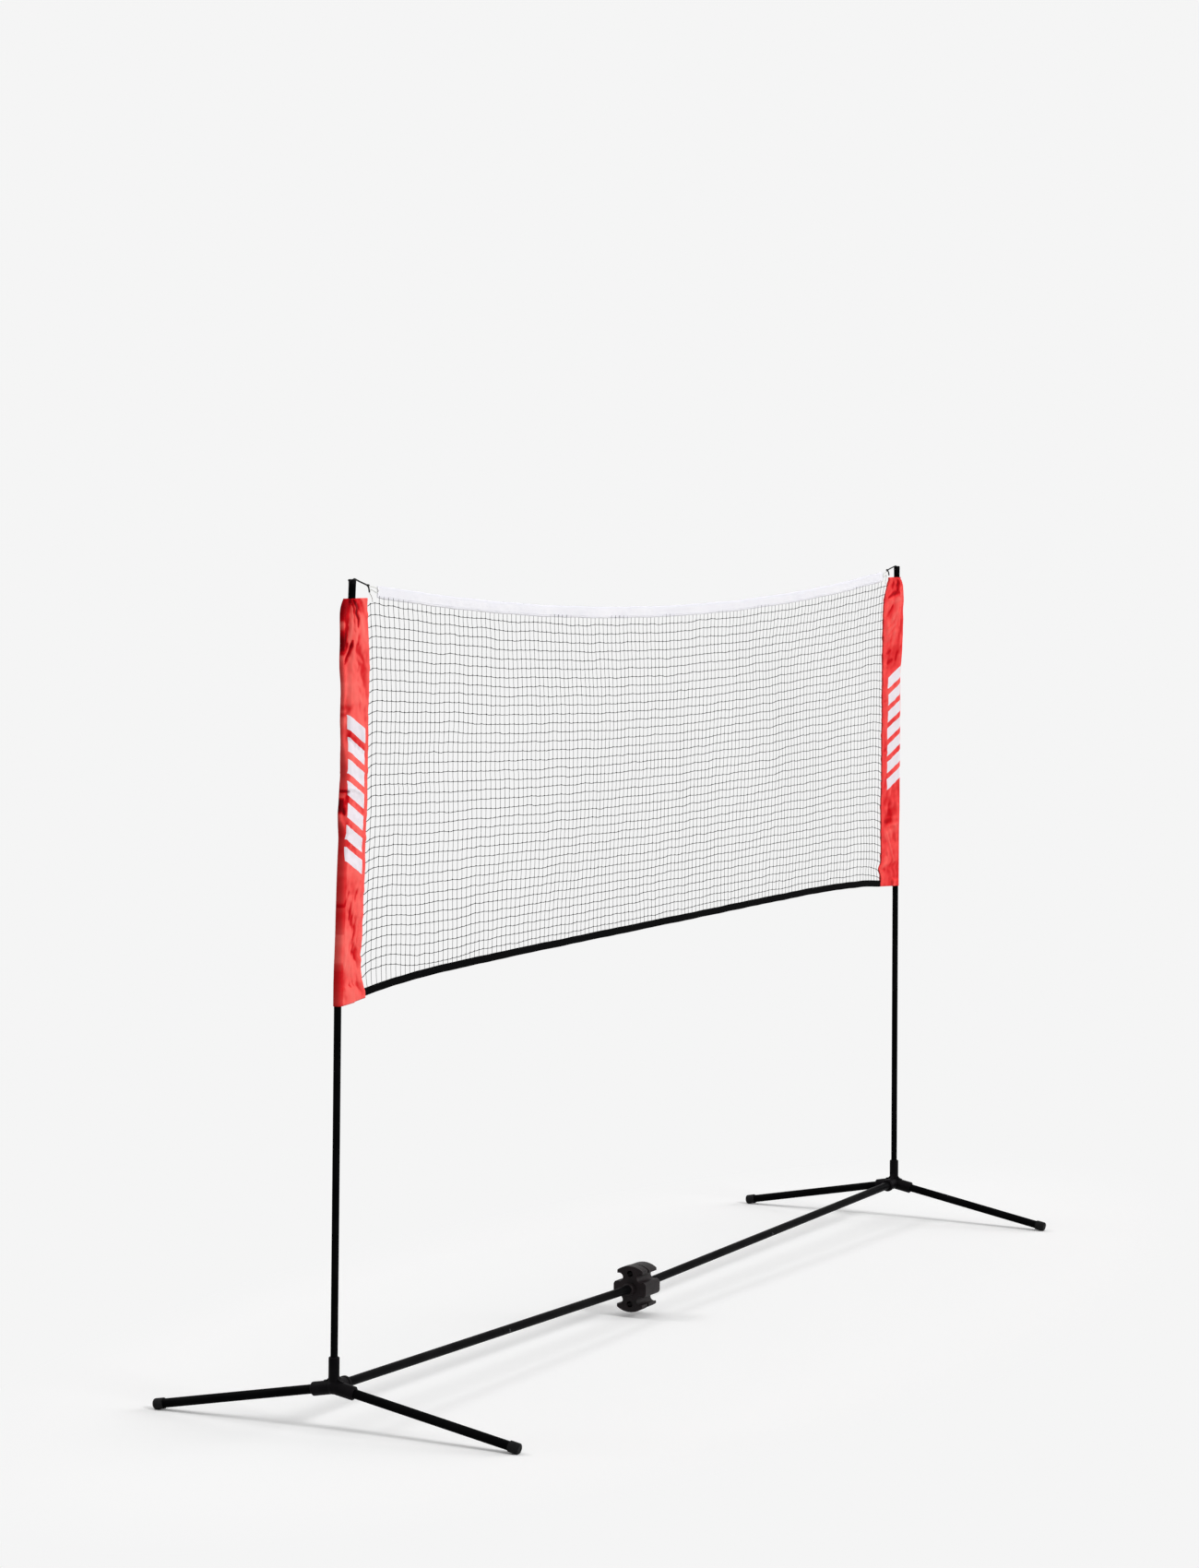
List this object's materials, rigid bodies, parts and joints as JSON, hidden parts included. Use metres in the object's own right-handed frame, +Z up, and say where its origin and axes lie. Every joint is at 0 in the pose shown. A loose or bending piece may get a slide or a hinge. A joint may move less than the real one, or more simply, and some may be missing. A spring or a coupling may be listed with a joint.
{
  "type": "portable volleyball net",
  "caption": "Free-standing net on two posts, with a tube base, clip hub, mesh, top and bottom tapes and fabric sleeves.",
  "frame": {"origin": "on the floor under the middle of the base", "axes": "+X along the base bar from the left hub to the right one, +Y from the near feet to the far feet, +Z up"},
  "size_m": [2.789, 0.793, 1.601],
  "materials": {
    "black_tube": "satin black powder coat",
    "hub_plastic": "fine grained moulding",
    "cap_rubber": "matt",
    "spring_steel": "plated",
    "red_satin": "satin weave polyester",
    "net_twine": "knotted nylon twine",
    "white_tape": "smooth polyester tape",
    "black_webbing": "woven webbing",
    "black_cord": "braided cord"
  },
  "bodies": {
    "base": {"corner_hub_left": "hub_plastic", "corner_hub_right": "hub_plastic", "clip_hub": "hub_plastic", "bar_outer_left": "black_tube", "bar_inner_left": "black_tube", "bar_inner_right": "black_tube", "bar_outer_right": "black_tube", "snap_spring_left": "spring_steel", "snap_spring_right": "spring_steel"},
    "left_snap": {"snap_button_left": "spring_steel"},
    "right_snap": {"snap_button_right": "spring_steel"},
    "near_left_foot": {"foot_near_left": "black_tube", "foot_cap_near_left": "cap_rubber"},
    "far_left_foot": {"foot_far_left": "black_tube", "foot_cap_far_left": "cap_rubber"},
    "near_right_foot": {"foot_near_right": "black_tube", "foot_cap_near_right": "cap_rubber"},
    "far_right_foot": {"foot_far_right": "black_tube", "foot_cap_far_right": "cap_rubber"},
    "left_post": {"post_lower_left": "black_tube", "post_upper_left": "black_tube", "post_cap_left": "hub_plastic"},
    "right_post": {"post_lower_right": "black_tube", "post_upper_right": "black_tube", "post_cap_right": "hub_plastic"},
    "net": {"sleeve_left": "red_satin", "sleeve_right": "red_satin", "net_mesh": "net_twine", "top_tape": "white_tape", "bottom_tape": "black_webbing", "headline_left": "black_cord", "headline_right": "black_cord"}
  },
  "joints": [
    {"name": "left_snap_press", "type": "slide", "parent": "base", "child": "left_snap", "axis": [0, 1, 0], "range_m": [0, 0.0032], "stiffness_N_per_m": 900, "springref_m": -0.002, "deforming": ["snap_spring_left"]},
    {"name": "right_snap_press", "type": "slide", "parent": "base", "child": "right_snap", "axis": [0, 1, 0], "range_m": [0, 0.0032], "stiffness_N_per_m": 900, "springref_m": -0.002, "deforming": ["snap_spring_right"]},
    {"name": "near_left_foot_pull", "type": "slide", "parent": "base", "child": "near_left_foot", "axis": [0, -0.9824, -0.1868], "range_m": [0, 0.03]},
    {"name": "near_right_foot_pull", "type": "slide", "parent": "base", "child": "near_right_foot", "axis": [0, -0.9824, -0.1868], "range_m": [0, 0.03]},
    {"name": "far_left_foot_pull", "type": "slide", "parent": "base", "child": "far_left_foot", "axis": [0, 0.9824, -0.1868], "range_m": [0, 0.03]},
    {"name": "far_right_foot_pull", "type": "slide", "parent": "base", "child": "far_right_foot", "axis": [0, 0.9824, -0.1868], "range_m": [0, 0.03]},
    {"name": "left_post_lift", "type": "slide", "parent": "base", "child": "left_post", "axis": [0.0026, 0, 1], "range_m": [0, 0.04]},
    {"name": "right_post_lift", "type": "slide", "parent": "base", "child": "right_post", "axis": [-0.034, 0, 0.9994], "range_m": [0, 0.04]},
    {"name": "net_lift", "type": "slide", "parent": "left_post", "child": "net", "axis": [0, 0, 1], "range_m": [0, 0.78]}
  ],
  "couplings": [
    {"joint": "right_post_lift", "follows": "left_post_lift", "ratio": 1}
  ]
}
